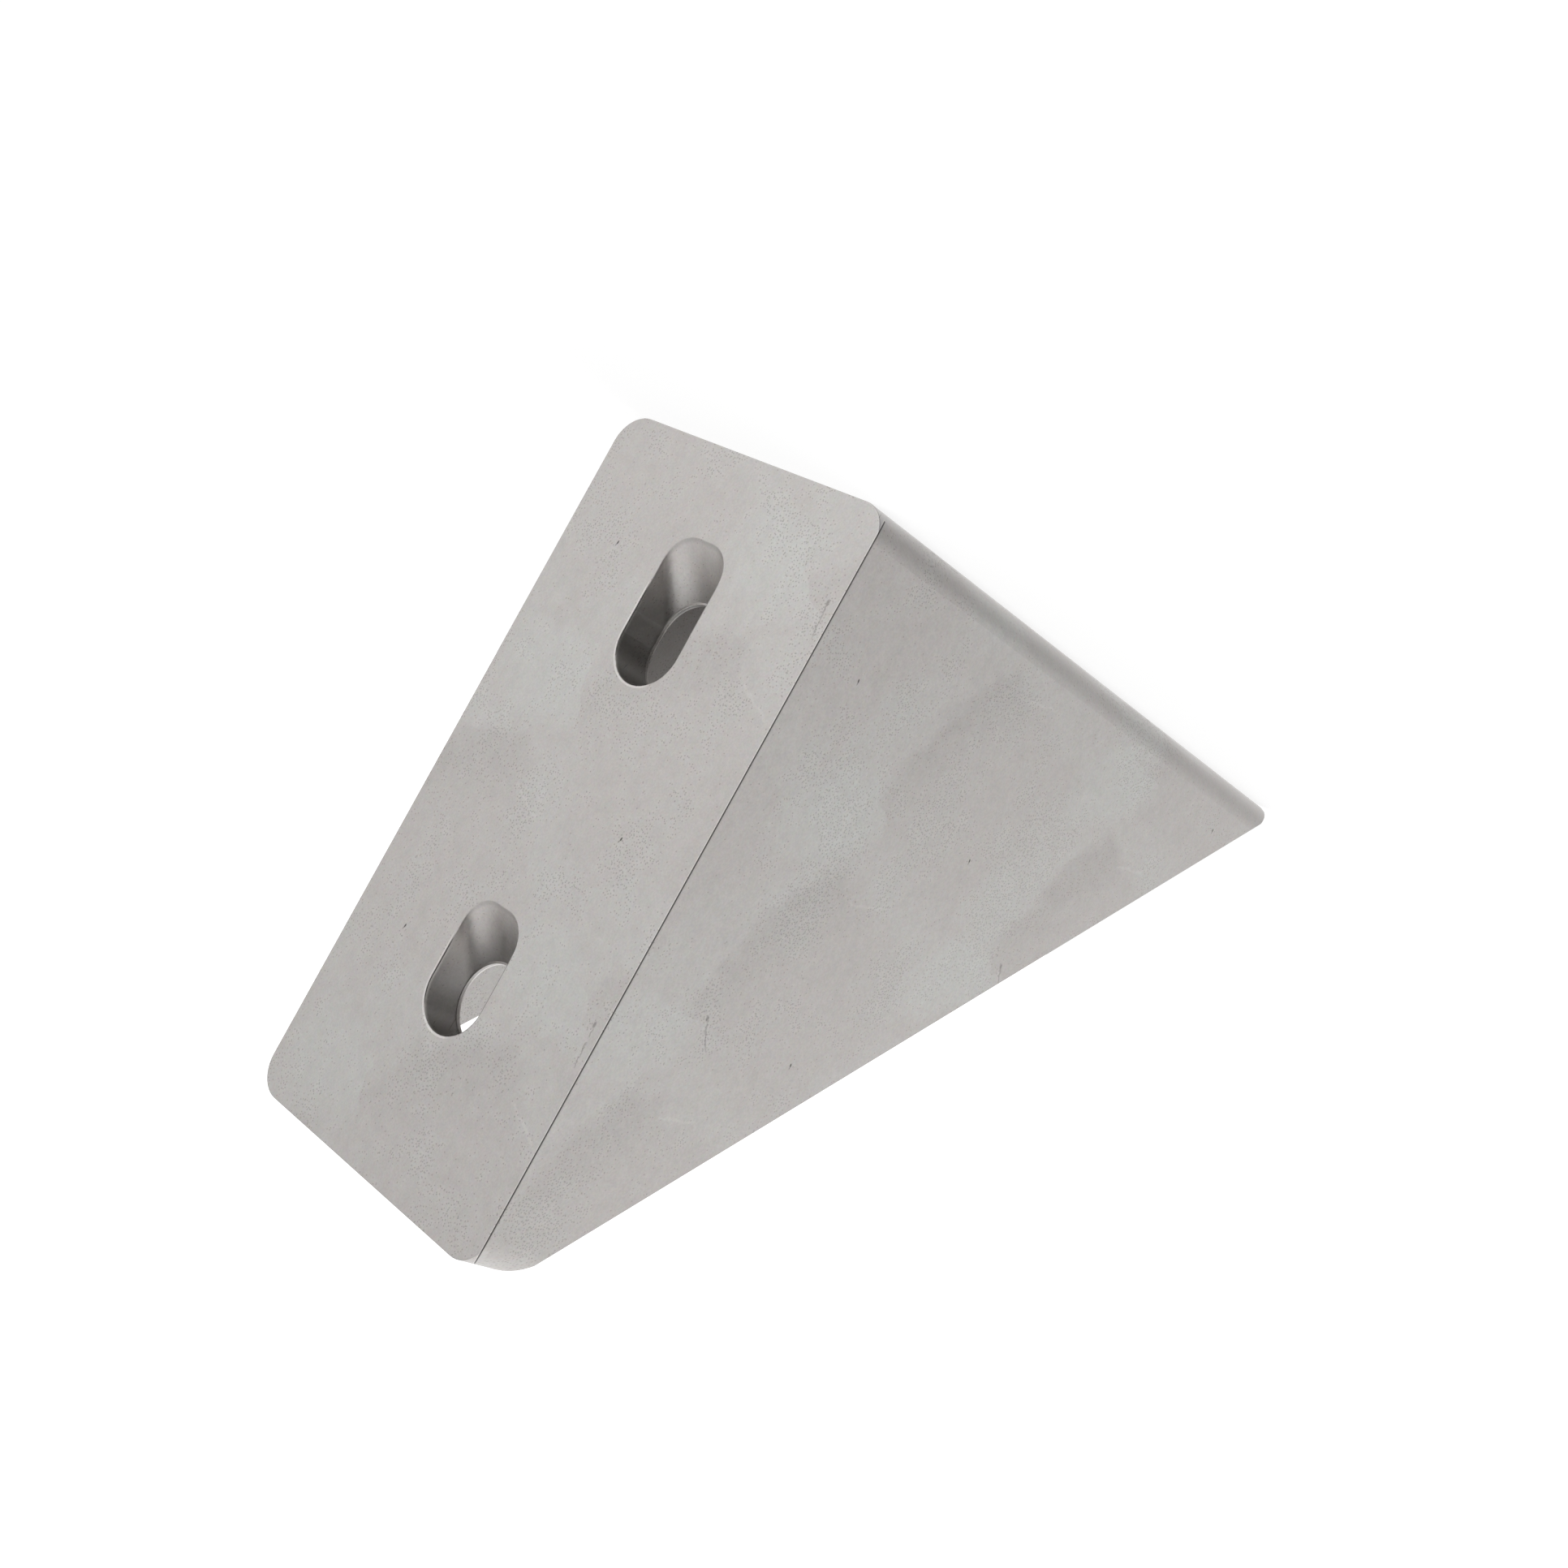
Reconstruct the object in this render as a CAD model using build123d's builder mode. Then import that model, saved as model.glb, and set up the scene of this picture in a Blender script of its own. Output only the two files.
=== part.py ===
"""Corner bracket for 40 mm T-slot profile, die-cast in one piece.

Two legs meet in a square heel, and a thin triangular side wall closes each side of the pocket between them.
The origin is the middle of the heel edge. X runs along the low leg, Y across the width, Z up the upright leg.
Lengths are in millimetres and angles in degrees.
"""

import os
from math import radians, tan

from build123d import *

# Outside
width = 40.0
upright_length = 80.0
low_leg_length = 84.7
upright_end_height = 5.2  # flat end of the upright leg, where the side walls' slope starts
low_leg_end_height = 0.5  # flat left at the toe of the low leg
corner_radius = 3.5  # corners of the upright mounting face, carried along the low leg's edges
shoulder_radius = 4.0  # where the slope turns into the upright leg's end
shoulder_lift = 0.05  # the shoulder is drawn this far past that end, to meet the round corners at an angle

# Walls
upright_thickness = 5.15
low_leg_thickness = 5.15
side_wall_thickness = 2.75  # at the slope, where the side walls are thinnest
pocket_draft = 0.75  # the side walls thicken towards the heel by this angle
pocket_corner_radius = 1.5  # between side walls and legs
pocket_heel_radius = 3.0

# Screw holes, placed from the heel along either leg
hole_width = 8.6  # clearance for an M8 screw, measured in the land
near_hole_distance = 20.0
near_hole_travel = 2.0  # the near hole is a short slot
far_hole_distance = 60.0  # the far hole is round
hole_land = 0.6  # collar left all round a hole at the pocket, where its width is held
hole_step = 0.05  # the wall beyond the land stands back by this much
hole_rim_chamfer = 0.1

# Each hole flares towards the heel, because its core is drawn out along the heel's diagonal
flare_angle = 48.0
flare_ledge = 0.2  # step left between the flare and the land, at the heel end
flare_mouth_flat = 2.05  # flat left between the flare's two rounded corners, at the mounting face
flare_end_flat = 0.45  # and where it runs out at the land
flare_inset = 0.025  # the flare's sides lie this far inside the wall beyond the land

edge_break = 0.12  # rounding of the edges round the mounting faces, and the bevel under the toe
slope_bevel = 0.25  # bevel along the outer edges of the slope
run_past = 1.0  # how far a cutting body passes the face it opens

upright_face = Plane(origin=(0, 0, 0), x_dir=(0, 0, 1), z_dir=(1, 0, 0))
low_leg_face = Plane(origin=(0, 0, 0), x_dir=(1, 0, 0), z_dir=(0, 0, 1))


def hole_outline(travel, across):
    """A round hole, or a slot along the leg where the hole has travel."""
    if travel > 0:
        SlotCenterToCenter(travel, across)
    else:
        Circle(across / 2)


def flare_section(plane, heel_end, open_end, flat):
    """Section of a flare: square at its open end, with a flat between two rounded corners at the heel end."""
    half = hole_width / 2 + hole_step - flare_inset
    with BuildSketch(plane) as section:
        with BuildLine():
            Polyline((open_end, -half), (heel_end, -half), (heel_end, half), (open_end, half), close=True)
        make_face()
        fillet(section.vertices().group_by(Axis.X)[0], half - flat / 2)
    return section.sketch


def hole_core(face, thickness, distance, travel):
    """The core that casts one screw hole through a leg, from its mounting face to the pocket."""
    heel_end = distance - travel / 2 - hole_width / 2
    flare_depth = thickness - hole_land
    mouth_end = heel_end - flare_ledge - flare_depth * tan(radians(flare_angle))
    open_end = distance + travel / 2
    with BuildPart() as core:
        with BuildSketch(face.offset(-run_past)):
            with Locations((distance, 0)):
                hole_outline(travel, hole_width)
        extrude(amount=thickness + 2 * run_past)
        with BuildSketch(face.offset(-run_past)):
            with Locations((distance, 0)):
                hole_outline(travel, hole_width + 2 * hole_step)
        extrude(amount=flare_depth + run_past)
        loft(
            [
                flare_section(face, mouth_end, open_end, flare_mouth_flat),
                flare_section(face.offset(flare_depth), heel_end - flare_ledge, open_end, flare_end_flat),
            ],
            ruled=True,
        )
    return core.part


# The side walls' slope: its run along X for each millimetre of height, and its plane, facing the heel
slope_run = (low_leg_length - upright_end_height) / (upright_length - low_leg_end_height)
slope_plane = Plane(
    origin=(upright_end_height, 0, upright_length),
    x_dir=(0, 1, 0),
    z_dir=(low_leg_end_height - upright_length, 0, upright_end_height - low_leg_length),
)
towards_heel = Axis(slope_plane.origin, slope_plane.z_dir)
across_slope = Plane(origin=slope_plane.origin, x_dir=(0, 1, 0), z_dir=(slope_run, 0, -1))

# The pocket between the legs and the side walls, open along the slope
with BuildPart() as pocket:
    with BuildSketch(Plane.XZ):
        with BuildLine():
            Polyline(
                (upright_thickness, low_leg_thickness),
                (low_leg_length + run_past, low_leg_thickness),
                (upright_thickness, upright_length + run_past),
                close=True,
            )
        make_face()
    extrude(amount=width / 2 - side_wall_thickness, both=True)
    draft(pocket.faces().filter_by(Axis.Y), slope_plane, pocket_draft)
    fillet(pocket.edges().filter_by(Axis.Y).sort_by(Axis.X)[0], pocket_heel_radius)
    open_edges = pocket.faces().sort_by(towards_heel)[0].edges()
    side_faces = pocket.faces().sort_by(Axis.Y)
    fillet(side_faces[0].edges() + side_faces[-1].edges() - open_edges, pocket_corner_radius)

with BuildPart() as bracket:
    # The upright leg's rounded outline, run out as far as the toe
    with BuildSketch(Plane.YZ):
        with Locations((0, upright_length / 2)):
            RectangleRounded(width, upright_length, corner_radius)
    extrude(amount=low_leg_length)

    # The side view, which cuts the slope
    with BuildSketch(Plane.XZ) as side_view:
        with BuildLine():
            Polyline(
                (0, 0),
                (low_leg_length, 0),
                (low_leg_length, low_leg_end_height),
                (upright_end_height - shoulder_lift * slope_run, upright_length + shoulder_lift),
                (0, upright_length + shoulder_lift),
                close=True,
            )
        make_face()
        fillet(side_view.vertices().group_by(Axis.Y)[-1].sort_by(Axis.X)[-1], shoulder_radius)
        chamfer(side_view.vertices().group_by(Axis.Y)[0].sort_by(Axis.X)[-1], edge_break)
    extrude(amount=width / 2, both=True, mode=Mode.INTERSECT)

    # The bevel on both sides of the slope: a section across it whose slanting sides pass through the bevels
    reach = upright_length + low_leg_length
    with BuildSketch(across_slope):
        with BuildLine():
            Polyline(
                (-width / 2 - reach, -slope_bevel - reach),
                (width / 2 + reach, -slope_bevel - reach),
                (width / 2 - slope_bevel - run_past, run_past),
                (slope_bevel + run_past - width / 2, run_past),
                close=True,
            )
        make_face()
    extrude(amount=reach, both=True, mode=Mode.INTERSECT)

    add(pocket.part, mode=Mode.SUBTRACT)
    for face, thickness in ((upright_face, upright_thickness), (low_leg_face, low_leg_thickness)):
        add(hole_core(face, thickness, near_hole_distance, near_hole_travel), mode=Mode.SUBTRACT)
        add(hole_core(face, thickness, far_hole_distance, 0), mode=Mode.SUBTRACT)

    # Edges of the pocket: the hole rims in its two floors, and its mouth in the slope
    pocket_floors = [
        bracket.faces().filter_by(face).sort_by(SortBy.AREA)[-2] for face in (upright_face, low_leg_face)
    ]
    rims = [rim for floor in pocket_floors for rim in floor.inner_wires()]
    chamfer([edge for rim in rims for edge in rim.edges()], hole_rim_chamfer)
    slope_face = bracket.faces().filter_by(slope_plane)[0]
    inner_half = width / 2 - side_wall_thickness / 2
    mouth_edges = slope_face.edges().filter_by(lambda edge: abs(edge.center().Y) < inner_half)
    fillet(mouth_edges, edge_break)

    # Edges of the mounting faces: the upright face all round, and the mouths of all holes
    upright_mount = bracket.faces().filter_by(upright_face).sort_by(Axis.X)[0]
    low_leg_mount = bracket.faces().filter_by(low_leg_face).sort_by(Axis.Z)[0]
    low_leg_mouths = [edge for mouth in low_leg_mount.inner_wires() for edge in mouth.edges()]
    fillet(upright_mount.edges() + low_leg_mouths, edge_break)

bracket.part.label = "bracket"
os.makedirs("parts", exist_ok=True)
export_step(bracket.part, "parts/bracket.step")
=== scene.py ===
"""Corner bracket for T-slot profile: its cast skin, a pale studio and the camera.

The scene is in metres. The cast skin's own sizes are in millimetres.
"""

from math import cos, radians, sin

import bpy
from mathutils import Matrix, Quaternion, Vector

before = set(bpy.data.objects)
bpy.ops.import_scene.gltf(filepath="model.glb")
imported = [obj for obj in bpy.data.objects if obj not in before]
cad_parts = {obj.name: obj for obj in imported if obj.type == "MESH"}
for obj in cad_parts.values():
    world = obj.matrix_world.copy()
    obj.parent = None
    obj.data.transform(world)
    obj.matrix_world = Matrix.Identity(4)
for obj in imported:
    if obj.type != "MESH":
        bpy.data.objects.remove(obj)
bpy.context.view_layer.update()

# The bracket's sizes
WIDTH = 40.0
UPRIGHT_LENGTH = 80.0
LOW_LEG_LENGTH = 84.7
SLOPE_REACH = 85.2  # how far from the heel the slope's plane meets either mounting face
LEG_THICKNESS = 5.15
SIDE_WALL_THICKNESS = 2.75
HOLE_FROM_HEEL = 20.0
HOLE_SPACING = 40.0
HOLE_WIDTH = 8.7  # beyond the collar
COLLAR_HEIGHT = 0.6  # ring left round each hole, next to the pocket
HALF_TRAVEL = 1.0  # the hole near the heel is a slot, longer by this much at both ends

# Colours of the cast skin, as linear red, green and blue
WARM_SKIN = (0.512, 0.489, 0.474, 1)
COOL_SKIN = (0.500, 0.494, 0.478, 1)
SOOT = (0.030, 0.028, 0.027, 1)

# The skin's textures: the size of each, and how much each adds to the skin's brightness
CLOUD_SIZE = 8.0
MOTTLE_SIZE = 1.8
GRAIN_SIZE = 0.24
PLAIN_LEVEL = 0.715  # brightness without them
CLOUD_LEVEL = 0.14
MOTTLE_LEVEL = 0.24
GRAIN_LEVEL = 0.20

# Brightness of each mark against the skin round it
PALE_TONE = 1.045
DARK_TONE = 0.93
WARM_TONE = 1.015
SCRATCH_TONE = 1.06
PINHOLE_TONE = 0.71
# painted highlight and painted dark reflection line, along the edges and round the hole mouths
HIGHLIGHT_TONE = 1.30
DARK_REFLECTION_TONE = 0.20

# Pinholes are of two kinds, each with a spacing, a radius, and the share of them that is drawn in a drift
PINHOLES = ((0.8, 0.12, 0.25), (0.36, 0.11, 0.80))

# Marks lie on a sheet over the outer faces, at (across, up) on the upright face, and repeat at these steps
STAIN_STEPS = ((21.3, 25.7), (21.3, -18.8))
CRACK_STEPS = ((42.6, 6.9), (0.0, 44.5))
TONGUE_TIP = (11.3, 15.5)
TICK_PLACE = (-11.55, 13.1)
CRACK_PLACE = (18.7, 12.4)
SCRATCH_PLACE = (16.5, 21.5)

# The side wall's face on that sheet: its two directions, each as (along the low leg, up), and its start
SIDE_ACROSS = (0.899, -0.471)
SIDE_UP = (0.606, 0.915)
SIDE_START = (-11.1, -4.9)
SLIDE = (1.0, 0.7)  # how far the sheet slides for each millimetre below the outer faces

# The tongue-shaped dark stain, from its tip: an arc on its left, and a straight right side
MIDDLE_FROM_TIP = (-2.5, 7.5)  # middle of the stretch of sheet that repeats with the tongue
TONGUE_ARC_CENTRE = (5.7, 25.8)
TONGUE_ARC_RADIUS = 26.4
TONGUE_RIGHT = (0.754, -0.657)  # direction that leads straight away from the right side
WANDER_SIZE = 6.0  # size of the bends in the stains' outlines
WANDER_REACH = 5.0

# Ovals, each with its middle from the mark's place, its half sizes and its turn in degrees
PALE_OVAL = ((-1.0, -6.5), (10.5, 7.0), 8.0)
WARM_OVAL = ((-8.5, -1.0), (6.0, 5.0), 0.0)
TICK_OVAL = ((0.0, 0.0), (0.12, 0.25), 10.0)
TICK_TAIL_OVAL = ((-0.10, 0.28), (0.07, 0.22), 20.0)
KNOT_OVAL = ((-0.2, -2.2), (0.22, 0.40), 0.0)

# Thin lines, each with its start and end from the mark's place, and its width
CRACK_LINE = ((0.25, 2.2), (-0.15, -2.3), 0.13)
SCRATCH_LINE = ((-2.6, -1.0), (2.6, 1.2), 0.22)

# Painted highlights and painted dark reflection lines along the edges, each from start to end: below 0 on
# the mounting face, above 0 past its edge
EDGE_HIGHLIGHT = (-0.27, -0.20)
EDGE_DARK_REFLECTION = (-0.18, -0.02)
MOUTH_HIGHLIGHT = (-0.24, -0.10)
MOUTH_DARK_REFLECTION = (-0.02, 0.10)
MOUTH_SHADE = (-0.13, 0.05)

# The studio's light, and its broad patches, each with an azimuth, elevation, closeness and light
STUDIO_LEVEL = 0.9
STUDIO_PATCHES = (
    (-10, 4, 4.0, 0.95),  # bright, behind the bracket
    (209, -32, 8.0, 0.57),  # bright and low, in front of the upright face
    (235, 45, 6.0, -0.20),  # a little dimmer and high, on the same side
    (55, -50, 3.5, -0.77),  # dim and low, in front of the side wall
)

# The floor: how far it reaches to each side, in metres, its grey and its own light
FLOOR_REACH = 3.0
FLOOR_GREY = 0.2
FLOOR_GLOW = 0.85

# The camera, in metres, and its roll in degrees
CAMERA_PLACE = (-0.1450, 0.1579, 0.0306)
CAMERA_AIM = (0.01267, 0.01305, 0.02660)
CAMERA_ROLL = -151.09


class NodeTree:
    """Adds nodes to a tree, left to right, and gives back the output that the next node needs."""

    def __init__(self, owner):
        owner.use_nodes = True
        self.tree = owner.node_tree
        self.tree.nodes.clear()

    def add(self, kind, **settings):
        made = self.tree.nodes.new(kind)
        for name, value in settings.items():
            setattr(made, name, value)
        return made

    def feed(self, socket, value):
        """A socket takes either another node's output or a plain value."""
        if isinstance(value, bpy.types.NodeSocket):
            self.tree.links.new(value, socket)
        else:
            socket.default_value = value

    def math(self, operation, *values):
        made = self.add("ShaderNodeMath", operation=operation)
        for socket, value in zip(made.inputs, values):
            self.feed(socket, value)
        return made.outputs[0]

    def highest(self, *values):
        result = values[0]
        for value in values[1:]:
            result = self.math("MAXIMUM", result, value)
        return result

    def product(self, *values):
        result = values[0]
        for value in values[1:]:
            result = self.math("MULTIPLY", result, value)
        return result

    def total(self, *values):
        result = values[0]
        for value in values[1:]:
            result = self.math("ADD", result, value)
        return result

    def level(self, amount, change, start=1.0):
        """Goes from start to start + change as amount goes from 0 to 1."""
        return self.total(start, self.product(amount, change))

    def vector(self, operation, first, second):
        made = self.add("ShaderNodeVectorMath", operation=operation)
        self.feed(made.inputs[0], first)
        self.feed(made.inputs["Scale"] if operation == "SCALE" else made.inputs[1], second)
        return made.outputs["Value" if operation in ("DOT_PRODUCT", "DISTANCE") else "Vector"]

    def length(self, vector):
        made = self.add("ShaderNodeVectorMath", operation="LENGTH")
        self.feed(made.inputs[0], vector)
        return made.outputs["Value"]

    def join(self, *parts):
        made = self.add("ShaderNodeCombineXYZ")
        for socket, part in zip(made.inputs, parts):
            self.feed(socket, part)
        return made.outputs[0]

    def split(self, vector):
        made = self.add("ShaderNodeSeparateXYZ")
        self.feed(made.inputs[0], vector)
        return made.outputs

    def between(self, value, low, high):
        """0 at low, 1 at high, and a smooth change between them. Low may be the larger of the two."""
        made = self.add("ShaderNodeMapRange", interpolation_type="SMOOTHSTEP")
        self.feed(made.inputs["Value"], value)
        made.inputs["From Min"].default_value = min(low, high)
        made.inputs["From Max"].default_value = max(low, high)
        made.inputs["To Min"].default_value = 0.0 if low < high else 1.0
        made.inputs["To Max"].default_value = 1.0 if low < high else 0.0
        return made.outputs["Result"]

    def band(self, value, start, end, soft=0.03):
        """1 from start to end, 0 outside them."""
        return self.product(self.between(value, start - soft, start), self.between(value, end + soft, end))

    def choose(self, amount, first, second):
        """A vector that goes from first to second as amount goes from 0 to 1."""
        made = self.add("ShaderNodeMix", data_type="VECTOR")
        self.feed(made.inputs["Factor"], amount)
        self.feed(made.inputs[4], first)
        self.feed(made.inputs[5], second)
        return made.outputs[1]

    def blend(self, amount, first, second, way="MIX"):
        """A colour mixed from two."""
        made = self.add("ShaderNodeMix", data_type="RGBA", blend_type=way)
        self.feed(made.inputs["Factor"], amount)
        self.feed(made.inputs[6], first)
        self.feed(made.inputs[7], second)
        return made.outputs[2]

    def tone(self, amount, colour, level):
        """The colour made darker or lighter: multiplied by level where amount is 1."""
        return self.blend(amount, colour, (level, level, level, 1), way="MULTIPLY")

    def noise(self, place, size, detail=2.0, roughness=0.5, flat=False):
        """Cloudy noise whose patches are about size across, as a level and as a colour."""
        made = self.add("ShaderNodeTexNoise", noise_dimensions="2D" if flat else "3D")
        self.feed(made.inputs["Vector"], place)
        made.inputs["Scale"].default_value = 1.0 / size
        made.inputs["Detail"].default_value = detail
        made.inputs["Roughness"].default_value = roughness
        return made.outputs["Fac"], made.outputs["Color"]

    def scatter(self, place, spacing):
        """Distance to the nearest of many scattered points, and a colour drawn for that point."""
        made = self.add("ShaderNodeTexVoronoi", voronoi_dimensions="2D")
        self.feed(made.inputs["Vector"], place)
        made.inputs["Scale"].default_value = 1.0 / spacing
        return self.product(made.outputs["Distance"], spacing), made.outputs["Color"]

    def wrap(self, value, half):
        """The value brought back between -half and half, by whole turns."""
        return self.math("WRAP", value, half, -half)

    def turned(self, offset, direction):
        """How far an offset on the sheet leads along a direction, and how far to its left."""
        x, y = direction
        return [self.vector("DOT_PRODUCT", offset, way) for way in ((x, y, 0.0), (-y, x, 0.0))]

    def oval(self, offset, centre, half_sizes, turn):
        """Distance from an oval's middle: 1 on its outline."""
        offset = self.vector("SUBTRACT", offset, (*centre, 0.0))
        offset = self.join(*self.turned(offset, (cos(radians(turn)), sin(radians(turn)))), 0.0)
        return self.length(self.vector("DIVIDE", offset, (*half_sizes, 1.0)))

    def stroke(self, offset, start, end, width, wobble):
        """A thin line from start to end, pushed to its side by wobble."""
        run = Vector(end) - Vector(start)
        offset = self.vector("SUBTRACT", offset, (*(Vector(start) + Vector(end)) / 2, 0.0))
        lengthways, crossways = self.turned(offset, run.normalized())
        within = self.between(self.math("ABSOLUTE", lengthways), run.length / 2, run.length / 2 - width)
        line = self.between(self.math("ABSOLUTE", self.total(crossways, wobble)), width, width * 0.3)
        return self.product(within, line)

    def from_nearest(self, sheet, centre, steps):
        """Where a point lies from the nearest copy of the mark at centre, which repeats at steps."""
        grid = Matrix(steps).transposed()
        offset = self.vector("SUBTRACT", sheet, (*centre, 0.0))
        counts = [self.vector("DOT_PRODUCT", offset, (*row, 0.0)) for row in grid.inverted()]
        wrapped = self.join(*[self.wrap(count, 0.5) for count in counts], 0.0)
        return self.join(*[self.vector("DOT_PRODUCT", wrapped, (*row, 0.0)) for row in grid], 0.0)


class CastSkin:
    """The bare casting's material: warm and cool grey, with stains, pinholes, black ticks and cracks, plus
    painted shade, light and highlights in the holes, the pocket and along the edges.
    """

    def __init__(self, name):
        self.material = bpy.data.materials.new(name)
        self.nodes = nodes = NodeTree(self.material)
        self.place = nodes.vector("SCALE", nodes.add("ShaderNodeTexCoord").outputs["Object"], 1000.0)
        self.along, self.across, self.up = nodes.split(self.place)
        self.from_side = nodes.math("SUBTRACT", WIDTH / 2, nodes.math("ABSOLUTE", self.across))
        self.into_leg = nodes.math("MINIMUM", self.along, self.up)
        from_heel = nodes.highest(self.along, self.up)
        self.by_near_hole = nodes.math("LESS_THAN", from_heel, HOLE_FROM_HEEL + HOLE_SPACING / 2)
        self.past_hole = nodes.wrap(nodes.total(from_heel, -HOLE_FROM_HEEL), HOLE_SPACING / 2)
        self.sheet = self.unfold()
        self.clouds = nodes.noise(self.place, CLOUD_SIZE, detail=2.0, roughness=0.6)[0]
        self.mottle = nodes.noise(self.place, MOTTLE_SIZE, detail=3.0, roughness=0.7)[0]
        self.grain = nodes.noise(self.place, GRAIN_SIZE, detail=1.0)[0]

    def unfold(self):
        """Lays the outer faces flat on one sheet, so that marks follow each face.

        A point takes its place from the outer face nearest to it. The sheet slides along with depth below
        that face, which keeps marks from running into streaks down the walls of the holes.
        """
        nodes = self.nodes
        side = [
            nodes.total(nodes.vector("DOT_PRODUCT", self.place, (along, 0.0, up)), start)
            for (along, up), start in zip((SIDE_ACROSS, SIDE_UP), SIDE_START)
        ]
        upright = nodes.join(self.across, self.up, 0.0)
        low_leg = nodes.join(self.across, self.along, 0.0)
        sheet = nodes.choose(nodes.math("LESS_THAN", self.up, self.along), upright, low_leg)
        by_side = nodes.math("LESS_THAN", self.from_side, self.into_leg)
        sheet = nodes.choose(by_side, sheet, nodes.join(*side, 0.0))
        depth = nodes.math("MINIMUM", self.from_side, self.into_leg)
        return nodes.vector("ADD", sheet, nodes.vector("SCALE", (*SLIDE, 0.0), depth))

    def stains(self):
        """How much of each stain there is: pale and cool, dark, and warm."""
        nodes = self.nodes
        wander = nodes.noise(self.sheet, WANDER_SIZE, detail=2.0, roughness=0.65, flat=True)[1]
        wander = nodes.vector("SCALE", nodes.vector("SUBTRACT", wander, (0.5, 0.5, 0.5)), WANDER_REACH)
        middle = Vector(TONGUE_TIP) + Vector(MIDDLE_FROM_TIP)
        offset = nodes.from_nearest(nodes.vector("ADD", self.sheet, wander), middle, STAIN_STEPS)
        offset = nodes.vector("ADD", offset, (*MIDDLE_FROM_TIP, 0.0))
        above = nodes.split(offset)[1]

        from_centre = nodes.vector("DISTANCE", offset, (*TONGUE_ARC_CENTRE, 0.0))
        past_left = nodes.total(from_centre, -TONGUE_ARC_RADIUS)
        past_right = nodes.vector("DOT_PRODUCT", offset, (*TONGUE_RIGHT, 0.0))
        past_tongue = nodes.highest(past_left, past_right)
        fading = nodes.product(nodes.between(past_left, -11.0, -0.5), nodes.between(above, 22.0, 3.0))
        dark = nodes.product(nodes.between(past_tongue, 1.0, -2.4), fading)

        clear = nodes.between(past_tongue, -1.8, 1.4)
        below_tip = nodes.between(nodes.oval(offset, *PALE_OVAL), 1.1, 0.4)
        beside = nodes.product(nodes.between(past_right, 9.0, 2.0), nodes.between(above, -2.0, 1.0), 0.5)
        pale = nodes.product(nodes.highest(below_tip, beside), clear)
        warm = nodes.product(nodes.between(nodes.oval(offset, *WARM_OVAL), 1.1, 0.4), clear)
        return pale, dark, warm

    def pinholes(self, dark):
        """Fine pinholes, crowded in drifts and in the dark stains, and a tint for the grain round each."""
        nodes = self.nodes
        drifts = nodes.between(nodes.total(self.clouds, nodes.product(self.mottle, 0.5)), 0.73, 0.90)
        crowd = nodes.total(drifts, nodes.product(dark, 0.3), 0.04)
        holes = []
        for spacing, radius, share in PINHOLES:
            distance, draw = nodes.scatter(self.sheet, spacing)
            drawn = nodes.math("GREATER_THAN", nodes.split(draw)[0], nodes.level(crowd, -share))
            holes.append(nodes.product(nodes.between(distance, radius, radius * 0.35), drawn))
        return nodes.highest(*holes), draw

    def flaws(self):
        """Black ticks, a broken hairline crack with a knot at its end, and a pale scratch."""
        nodes = self.nodes
        wobble = nodes.product(nodes.total(self.mottle, -0.5), 1.3)

        offset = nodes.from_nearest(self.sheet, TICK_PLACE, STAIN_STEPS)
        tick = nodes.between(nodes.oval(offset, *TICK_OVAL), 1.1, 0.6)
        tail = nodes.between(nodes.oval(offset, *TICK_TAIL_OVAL), 1.1, 0.5)
        tick = nodes.highest(tick, nodes.product(tail, 0.6))

        offset = nodes.from_nearest(self.sheet, CRACK_PLACE, CRACK_STEPS)
        crack = nodes.stroke(offset, *CRACK_LINE, wobble)
        crack = nodes.product(crack, nodes.between(self.mottle, 0.40, 0.56), 0.38)
        knot = nodes.between(nodes.oval(offset, *KNOT_OVAL), 1.2, 0.4)
        crack = nodes.highest(crack, nodes.product(knot, 0.5))

        offset = nodes.from_nearest(self.sheet, SCRATCH_PLACE, STAIN_STEPS)
        scratch = nodes.stroke(offset, *SCRATCH_LINE, wobble)
        return nodes.highest(tick, crack), scratch

    def inside(self):
        """1 in the holes and the pocket, 0 on the outside."""
        nodes = self.nodes
        return nodes.product(
            nodes.between(self.from_side, SIDE_WALL_THICKNESS - 0.45, SIDE_WALL_THICKNESS - 0.05),
            nodes.between(self.into_leg, 0.1, 0.5),
            nodes.between(self.up, UPRIGHT_LENGTH - 0.2, UPRIGHT_LENGTH - 0.6),
            nodes.between(self.along, LOW_LEG_LENGTH - 0.1, LOW_LEG_LENGTH - 0.4),
        )

    def painted_inner_shade(self):
        """Painted shade and light inside the holes and the pocket: light in the flares, darker past them
        and deep in the pocket.
        """
        nodes = self.nodes
        # painted shade: darker past the flares, a little less so in the hole near the heel
        past_flare = nodes.between(self.past_hole, -7.5, 0.5)
        in_hole = nodes.level(past_flare, nodes.level(self.by_near_hole, 0.10, start=-0.74), start=1.22)

        # Painted light: the collar is painted lighter than the wall, but not on its heel side, and its rim
        # gets a painted highlight all round
        collar_start = LEG_THICKNESS - COLLAR_HEIGHT
        collar = nodes.between(self.into_leg, collar_start, collar_start + 0.1)
        heel_side = nodes.between(self.past_hole, -1.0, -4.0)
        painted_collar_light = nodes.level(heel_side, nodes.level(self.by_near_hole, -0.65, start=-0.5), start=0.5)
        rim = nodes.band(self.into_leg, LEG_THICKNESS - 0.22, LEG_THICKNESS - 0.12)
        in_hole = nodes.product(in_hole, nodes.level(collar, painted_collar_light), nodes.level(rim, 0.7))

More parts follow.
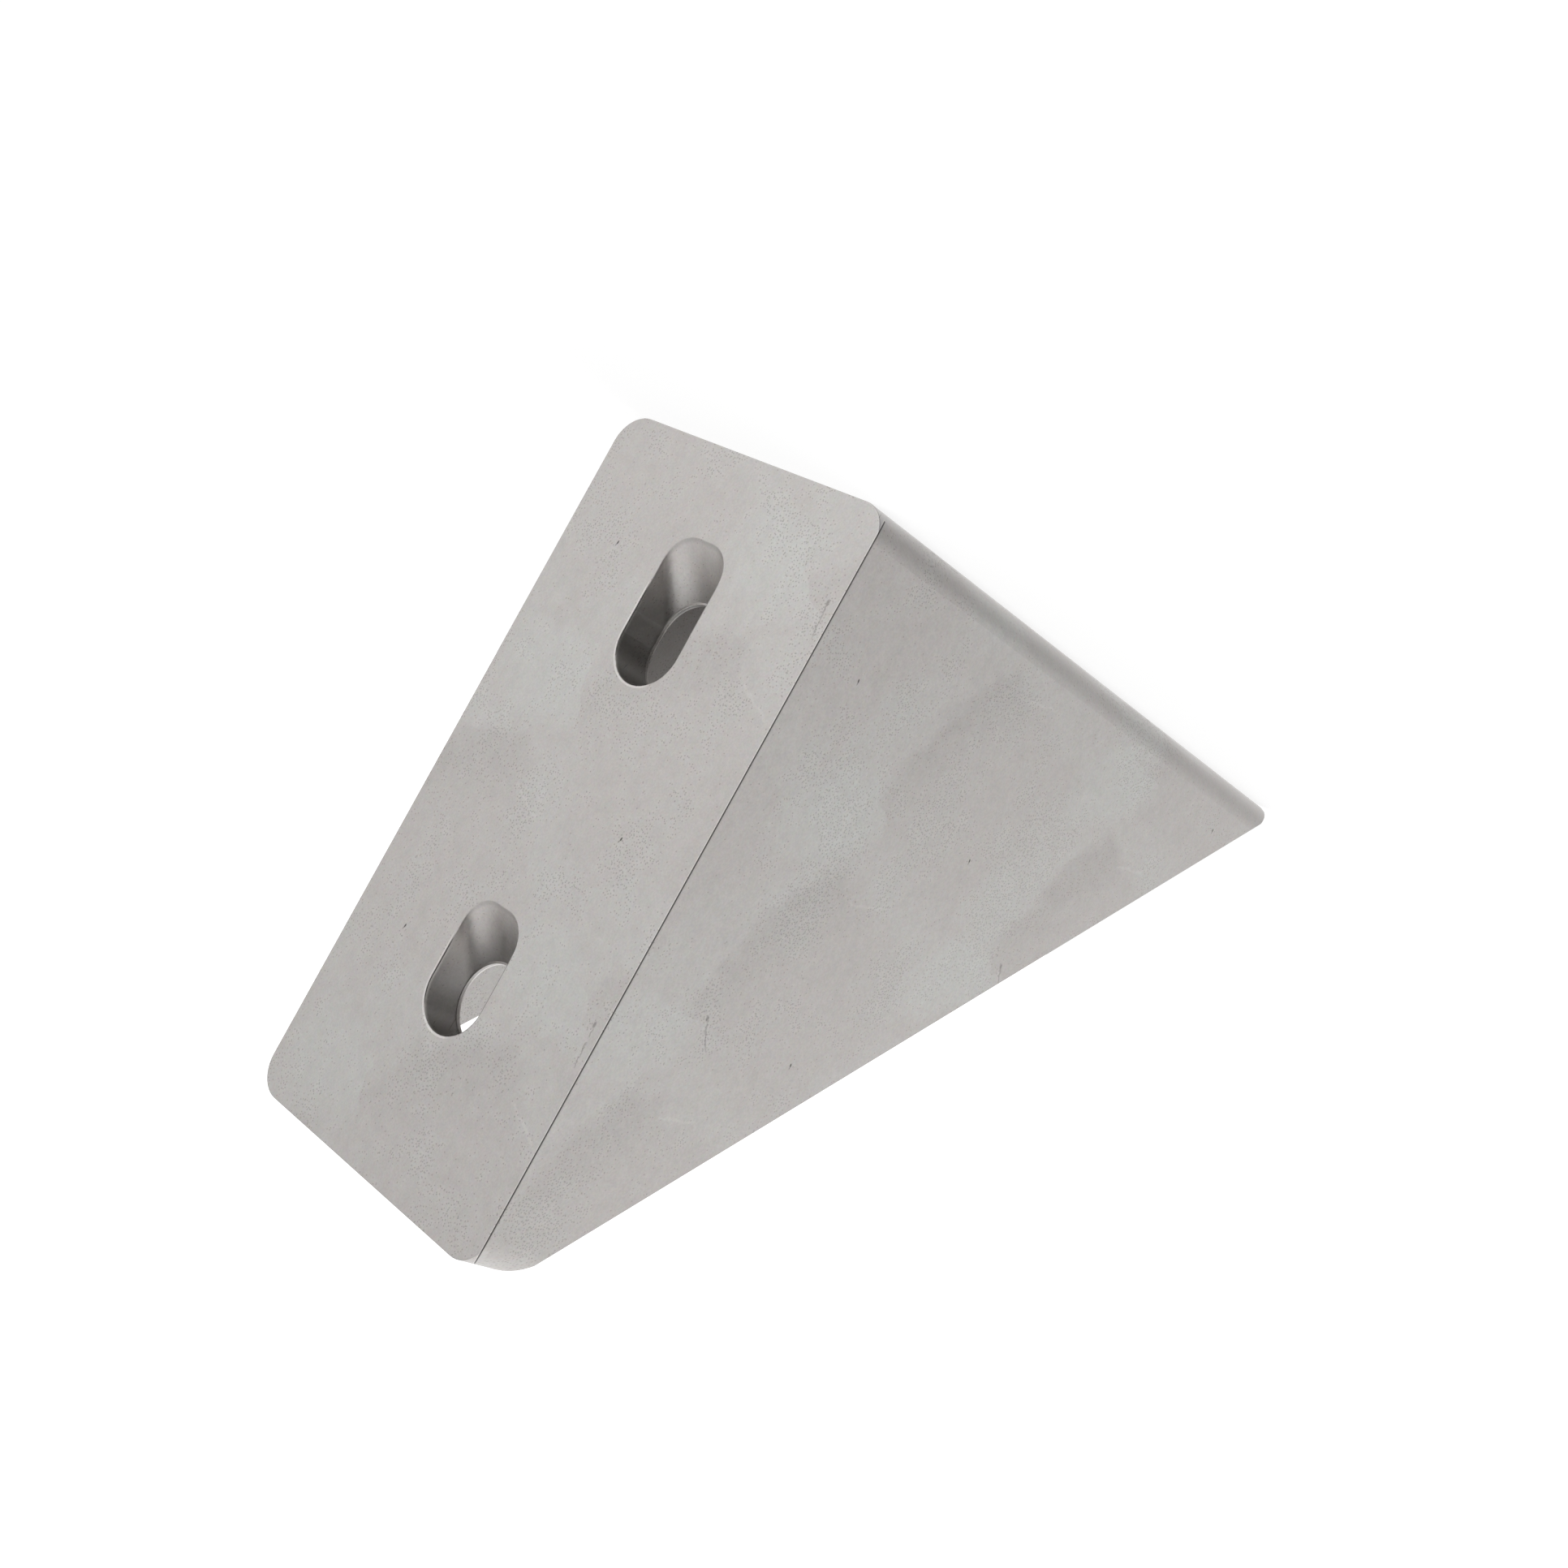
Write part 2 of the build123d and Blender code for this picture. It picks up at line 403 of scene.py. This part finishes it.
        # painted shade: darker deeper in the pocket, away from the slope
        below_slope = nodes.math("SUBTRACT", SLOPE_REACH, nodes.total(self.along, self.up))
        in_pocket = nodes.level(nodes.between(below_slope, 12.0, 45.0), -0.52)
        pocket = nodes.between(self.into_leg, LEG_THICKNESS - 0.12, LEG_THICKNESS - 0.10)
        hole = nodes.math("SUBTRACT", 1.0, pocket)
        return nodes.total(nodes.product(in_hole, hole), nodes.product(in_pocket, pocket))

    def painted_edge_light(self):
        """Painted highlights and painted dark reflection lines, on the upright face's edge and round the
        hole mouths, with painted shade on the mouths' right sides.
        """
        nodes = self.nodes
        past_edge = nodes.math("SUBTRACT", self.into_leg, self.from_side)
        on_upright = nodes.math("LESS_THAN", self.along, self.up)
        edge = nodes.product(nodes.between(self.across, 18.0, 18.5), on_upright)

        half_travel = nodes.product(self.by_near_hole, HALF_TRAVEL)
        past_end = nodes.highest(nodes.math("SUBTRACT", self.past_hole, half_travel), 0.0)
        from_hole = nodes.total(nodes.length(nodes.join(self.across, past_end, 0.0)), -HOLE_WIDTH / 2)
        past_mouth = nodes.math("SUBTRACT", self.into_leg, nodes.highest(from_hole, 0.0))
        past_corners = nodes.between(nodes.total(self.past_hole, half_travel), -6.4, -5.6)
        by_hole = nodes.product(nodes.between(from_hole, 1.0, 0.8), past_corners)
        leftwards = nodes.total(nodes.product(self.across, -0.8), nodes.product(self.past_hole, 0.6))
        left = nodes.product(by_hole, nodes.between(leftwards, 0.5, 1.5))
        right = nodes.product(by_hole, nodes.between(self.across, 2.5, 3.5))

        far_left = nodes.between(self.across, -3.0, -4.0)
        # painted highlight on the upright face's edge and the mouths' left sides, painted dark lines beside
        # it, and painted shade on the mouths' right sides
        highlight = nodes.highest(
            nodes.product(edge, nodes.band(past_edge, *EDGE_HIGHLIGHT)),
            nodes.product(left, nodes.band(past_mouth, *MOUTH_HIGHLIGHT)),
        )
        dark_reflection = nodes.highest(
            nodes.product(edge, nodes.band(past_edge, *EDGE_DARK_REFLECTION)),
            nodes.product(left, nodes.band(past_mouth, *MOUTH_DARK_REFLECTION), far_left),
            nodes.product(right, nodes.band(past_mouth, *MOUTH_SHADE), 0.5),
        )
        return highlight, dark_reflection

    def finish(self):
        nodes = self.nodes
        pale, dark, warm = self.stains()
        pinholes, tint = self.pinholes(dark)
        black, scratch = self.flaws()
        highlight, dark_reflection = self.painted_edge_light()

        cool_clouds = nodes.between(self.clouds, 0.45, 0.7)
        cool = nodes.total(nodes.product(pale, 0.8), nodes.product(cool_clouds, 0.35))
        colour = nodes.blend(cool, WARM_SKIN, COOL_SKIN)
        colour = nodes.tone(pale, colour, PALE_TONE)
        colour = nodes.tone(dark, colour, DARK_TONE)
        colour = nodes.tone(warm, colour, WARM_TONE)
        texture = nodes.total(
            PLAIN_LEVEL,
            nodes.product(self.clouds, CLOUD_LEVEL),
            nodes.product(self.mottle, MOTTLE_LEVEL),
            nodes.product(self.grain, GRAIN_LEVEL),
        )
        colour = nodes.blend(1.0, colour, texture, way="MULTIPLY")
        colour = nodes.blend(0.02, colour, tint, way="OVERLAY")
        colour = nodes.tone(scratch, colour, SCRATCH_TONE)
        # painted shade and light inside the holes and the pocket
        colour = nodes.blend(self.inside(), colour, self.painted_inner_shade(), way="MULTIPLY")
        colour = nodes.tone(pinholes, colour, PINHOLE_TONE)
        # painted highlights and painted dark reflection lines along the edges and hole mouths
        colour = nodes.tone(highlight, colour, HIGHLIGHT_TONE)
        colour = nodes.tone(dark_reflection, colour, DARK_REFLECTION_TONE)
        colour = nodes.blend(nodes.product(black, 0.8), colour, SOOT)
        roughness = nodes.total(0.36, nodes.product(self.mottle, 0.12), nodes.product(pale, -0.03))

        bump = nodes.add("ShaderNodeBump")
        bump.inputs["Strength"].default_value = 0.25
        bump.inputs["Distance"].default_value = 0.00002
        nodes.feed(bump.inputs["Height"], self.grain)

        shader = nodes.add("ShaderNodeBsdfPrincipled")
        nodes.feed(shader.inputs["Base Color"], colour)
        nodes.feed(shader.inputs["Roughness"], roughness)
        nodes.feed(shader.inputs["Normal"], bump.outputs[0])
        shader.inputs["Metallic"].default_value = 1.0
        output = nodes.add("ShaderNodeOutputMaterial")
        nodes.feed(output.inputs["Surface"], shader.outputs[0])
        return self.material


def dress_bracket():
    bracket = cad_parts["bracket"]
    bracket.data.materials.clear()
    bracket.data.materials.append(CastSkin("cast_skin").finish())


def studio_floor():
    """White floor with a faint shadow. Gloss looks past it into the studio."""
    material = bpy.data.materials.new("studio_floor")
    nodes = NodeTree(material)
    rays = nodes.add("ShaderNodeLightPath")
    paint = nodes.add("ShaderNodeBsdfDiffuse")
    paint.inputs["Color"].default_value = (FLOOR_GREY, FLOOR_GREY, FLOOR_GREY, 1)
    glow = nodes.add("ShaderNodeEmission")
    nodes.feed(glow.inputs["Strength"], nodes.product(rays.outputs["Is Camera Ray"], FLOOR_GLOW))
    lit = nodes.add("ShaderNodeAddShader")
    nodes.feed(lit.inputs[0], paint.outputs[0])
    nodes.feed(lit.inputs[1], glow.outputs[0])
    clear = nodes.add("ShaderNodeBsdfTransparent")
    floor = nodes.add("ShaderNodeMixShader")
    nodes.feed(floor.inputs[0], nodes.highest(rays.outputs["Is Glossy Ray"], rays.outputs["Is Shadow Ray"]))
    nodes.feed(floor.inputs[1], lit.outputs[0])
    nodes.feed(floor.inputs[2], clear.outputs[0])
    output = nodes.add("ShaderNodeOutputMaterial")
    nodes.feed(output.inputs["Surface"], floor.outputs[0])
    return material


def lay_floor():
    mesh = bpy.data.meshes.new("floor")
    corners = [(x * FLOOR_REACH, y * FLOOR_REACH, 0) for x, y in ((-1, -1), (1, -1), (1, 1), (-1, 1))]
    mesh.from_pydata(corners, [], [(0, 1, 2, 3)])
    mesh.materials.append(studio_floor())
    floor = bpy.data.objects.new("floor", mesh)
    bpy.context.scene.collection.objects.link(floor)


def towards(azimuth, elevation):
    flat = cos(radians(elevation))
    return (flat * cos(radians(azimuth)), flat * sin(radians(azimuth)), sin(radians(elevation)))


def surround():
    """White to the camera. The metal sees a pale studio with brighter and dimmer sides."""
    world = bpy.data.worlds.new("studio")
    bpy.context.scene.world = world
    nodes = NodeTree(world)
    rays = nodes.add("ShaderNodeLightPath")
    seen = nodes.highest(rays.outputs["Is Camera Ray"], rays.outputs["Is Transmission Ray"])
    direction = nodes.add("ShaderNodeTexCoord").outputs["Generated"]
    studio = STUDIO_LEVEL
    for azimuth, elevation, closeness, amount in STUDIO_PATCHES:
        facing = nodes.vector("DOT_PRODUCT", direction, towards(azimuth, elevation))
        spread = nodes.math("EXPONENT", nodes.product(nodes.total(facing, -1.0), closeness))
        studio = nodes.level(spread, amount, start=studio)
    light = nodes.add("ShaderNodeBackground")
    light.inputs["Color"].default_value = (1, 1, 1, 1)
    nodes.feed(light.inputs["Strength"], nodes.highest(seen, studio))
    output = nodes.add("ShaderNodeOutputWorld")
    nodes.feed(output.inputs["Surface"], light.outputs[0])


def set_camera():
    """Looks at the heel's corner from a little above the low leg, rolled until the heel is uppermost."""
    lens = bpy.data.cameras.new("camera")
    lens.lens = 50
    lens.sensor_width = 36
    camera = bpy.data.objects.new("camera", lens)
    camera.location = CAMERA_PLACE
    upright = (Vector(CAMERA_AIM) - camera.location).to_track_quat("-Z", "Y")
    roll = Quaternion((0, 0, 1), radians(CAMERA_ROLL))
    camera.rotation_euler = (upright @ roll).to_euler()
    bpy.context.scene.collection.objects.link(camera)
    bpy.context.scene.camera = camera


dress_bracket()
lay_floor()
surround()
set_camera()
bpy.context.scene.view_settings.view_transform = "Standard"
